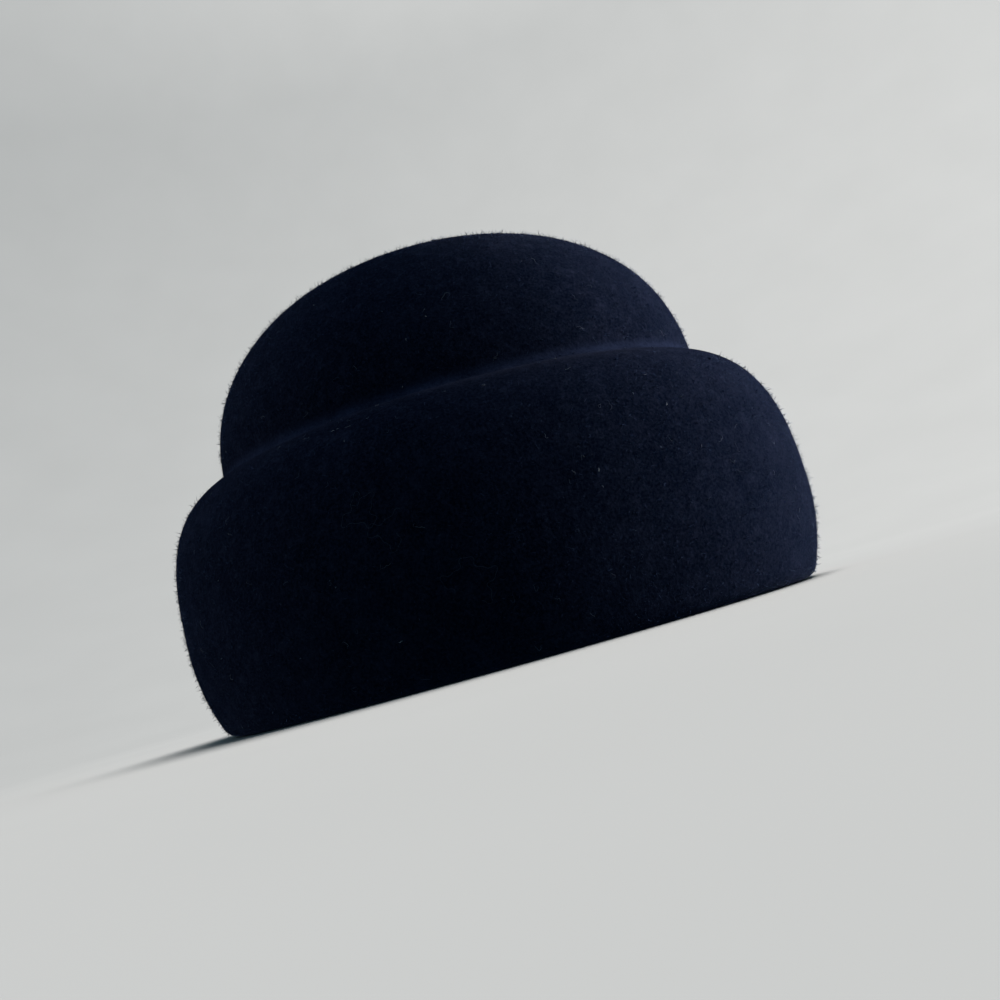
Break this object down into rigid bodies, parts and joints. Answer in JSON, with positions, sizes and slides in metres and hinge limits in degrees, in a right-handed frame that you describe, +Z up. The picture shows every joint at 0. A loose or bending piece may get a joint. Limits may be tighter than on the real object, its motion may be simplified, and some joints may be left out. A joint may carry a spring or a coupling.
{
  "type": "felt sailor hat",
  "caption": "Brimless sailor hat of blocked navy wool felt: a domed crown stepped over a moulded crease to a full cuff-like band, open below for a head.",
  "frame": {"origin": "on the surface the hat stands on, below the middle of its oval", "axes": "+Z up through the crown, -Y towards the hat's front, Y along the oval's length, X across it"},
  "size_m": [0.192, 0.224, 0.1506],
  "materials": {
    "navy_felt": "matt wool felt with a short nap"
  },
  "bodies": {
    "root": {"felt_body": "navy_felt"}
  },
  "joints": []
}
